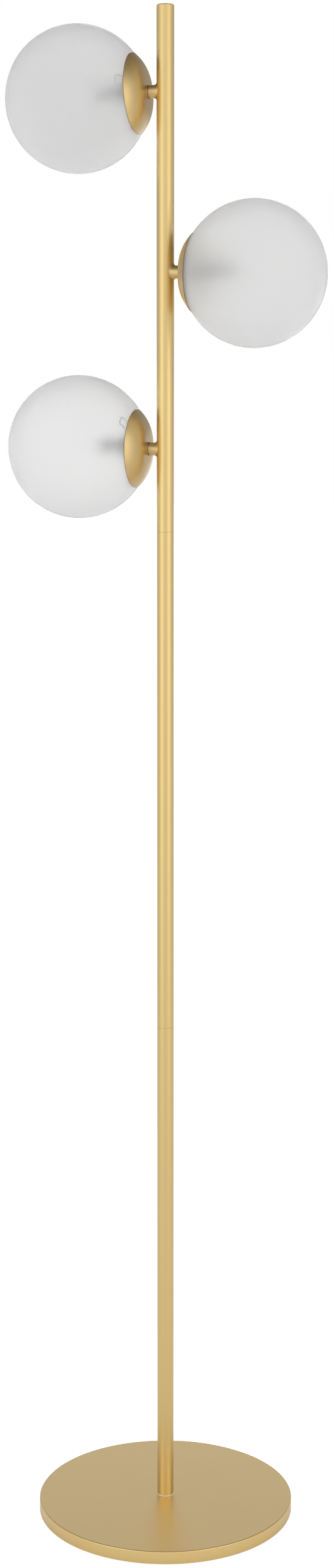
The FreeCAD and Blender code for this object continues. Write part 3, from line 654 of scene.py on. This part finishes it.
def make_floor():
    """A pale floor that glows to the camera and through glass, but only faintly in the brass."""
    mesh = bpy.data.meshes.new("floor")
    sheet = bmesh.new()
    bmesh.ops.create_circle(sheet, cap_ends=True, segments=FLOOR_SIDES, radius=FLOOR_RADIUS)
    sheet.to_mesh(mesh)
    sheet.free()
    floor = bpy.data.objects.new("floor", mesh)
    bpy.context.scene.collection.objects.link(floor)

    material = bpy.data.materials.new("studio_floor")
    material.use_nodes = True
    tree = Tree(material.node_tree)
    plain = tree.add("ShaderNodeBsdfDiffuse")
    tree.feed(plain.inputs["Color"], FLOOR_WHITE)
    glow = tree.add("ShaderNodeEmission")
    path = tree.add("ShaderNodeLightPath")
    seen = tree.math("MAXIMUM", path.outputs["Is Camera Ray"], path.outputs["Is Transmission Ray"])
    mirrored = tree.math("MULTIPLY", path.outputs["Is Glossy Ray"], FLOOR_MIRRORED_GLOW)
    tree.join(tree.math("ADD", tree.math("MULTIPLY", seen, FLOOR_GLOW), mirrored), glow.inputs["Strength"])
    both = tree.add("ShaderNodeAddShader")
    tree.join(plain.outputs[0], both.inputs[0])
    tree.join(glow.outputs[0], both.inputs[1])
    output = tree.add("ShaderNodeOutputMaterial")
    tree.join(both.outputs[0], output.inputs["Surface"])
    mesh.materials.append(material)


def make_world():
    """White to the camera; a bright room to the glass; to the brass, dark overhead and behind the lamp."""
    world = bpy.data.worlds.new("studio")
    bpy.context.scene.world = world
    world.use_nodes = True
    tree = Tree(world.node_tree)
    direction = tree.add("ShaderNodeTexCoord").outputs["Generated"]
    split = tree.add("ShaderNodeSeparateXYZ")
    tree.join(direction, split.inputs[0])
    facing = tree.add("ShaderNodeVectorMath", operation="DOT_PRODUCT")
    tree.join(direction, facing.inputs[0])
    facing.inputs[1].default_value = heading(CAMERA_AZIMUTH, 1.0, 0.0)
    around = tree.remap(facing.outputs["Value"], -1.0, 1.0, GLOSSY_BACK, GLOSSY_FRONT)
    lean = tree.remap(facing.outputs["Value"], 0.0, 1.0, 0.0, GLOSSY_FRONT_LEAN)
    raised = tree.math("SUBTRACT", split.outputs["Z"], lean)
    mirrored = tree.remap(raised, GLOSSY_LOW_EDGE, GLOSSY_HIGH_EDGE, around, GLOSSY_OVERHEAD)
    level = tree.remap(split.outputs["Z"], ROOM_LOW_EDGE, ROOM_HIGH_EDGE, ROOM_LEVEL, ROOM_OVERHEAD)
    path = tree.add("ShaderNodeLightPath")
    lit = tree.mix(path.outputs["Is Glossy Ray"], level, mirrored)
    shown = tree.mix(path.outputs["Is Camera Ray"], lit, WHITE)
    background = tree.add("ShaderNodeBackground")
    tree.join(shown, background.inputs["Color"])
    output = tree.add("ShaderNodeOutputWorld")
    tree.join(background.outputs[0], output.inputs["Surface"])


def make_camera():
    data = bpy.data.cameras.new("camera")
    data.sensor_fit = "AUTO"
    data.sensor_width = SENSOR
    data.lens = FOCAL_PIXELS * SENSOR / IMAGE_HEIGHT
    data.clip_start = CLIP_START
    data.clip_end = CLIP_END
    camera = bpy.data.objects.new("camera", data)
    camera.location = heading(CAMERA_AZIMUTH, CAMERA_DISTANCE, CAMERA_HEIGHT)
    camera.rotation_euler = (
        math.radians(CAMERA_LEVEL - CAMERA_PITCH), 0.0, math.radians(CAMERA_AZIMUTH - CAMERA_TURN))
    bpy.context.scene.collection.objects.link(camera)
    bpy.context.scene.camera = camera


def light_studio():
    for name, turn in (("left_softbox", -SOFTBOX_TURN), ("right_softbox", SOFTBOX_TURN)):
        add_softbox(name, CAMERA_AZIMUTH + turn, SOFTBOX_HEIGHT, SOFTBOX_WIDTH, SOFTBOX_TALL,
                    SOFTBOX_RADIANCE, SOFTBOX_HEIGHT)
    add_softbox("back_softbox", CAMERA_AZIMUTH + BACK_LAMP_TURN, BACK_LAMP_HEIGHT, BACK_LAMP_WIDTH,
                BACK_LAMP_TALL, BACK_LAMP_RADIANCE, 0.0)


FINISHES = make_finishes()
finish_nodes(FINISHES)
make_details(FINISHES)
make_floor()
make_world()
make_camera()
light_studio()
bpy.context.scene.view_settings.view_transform = "Standard"
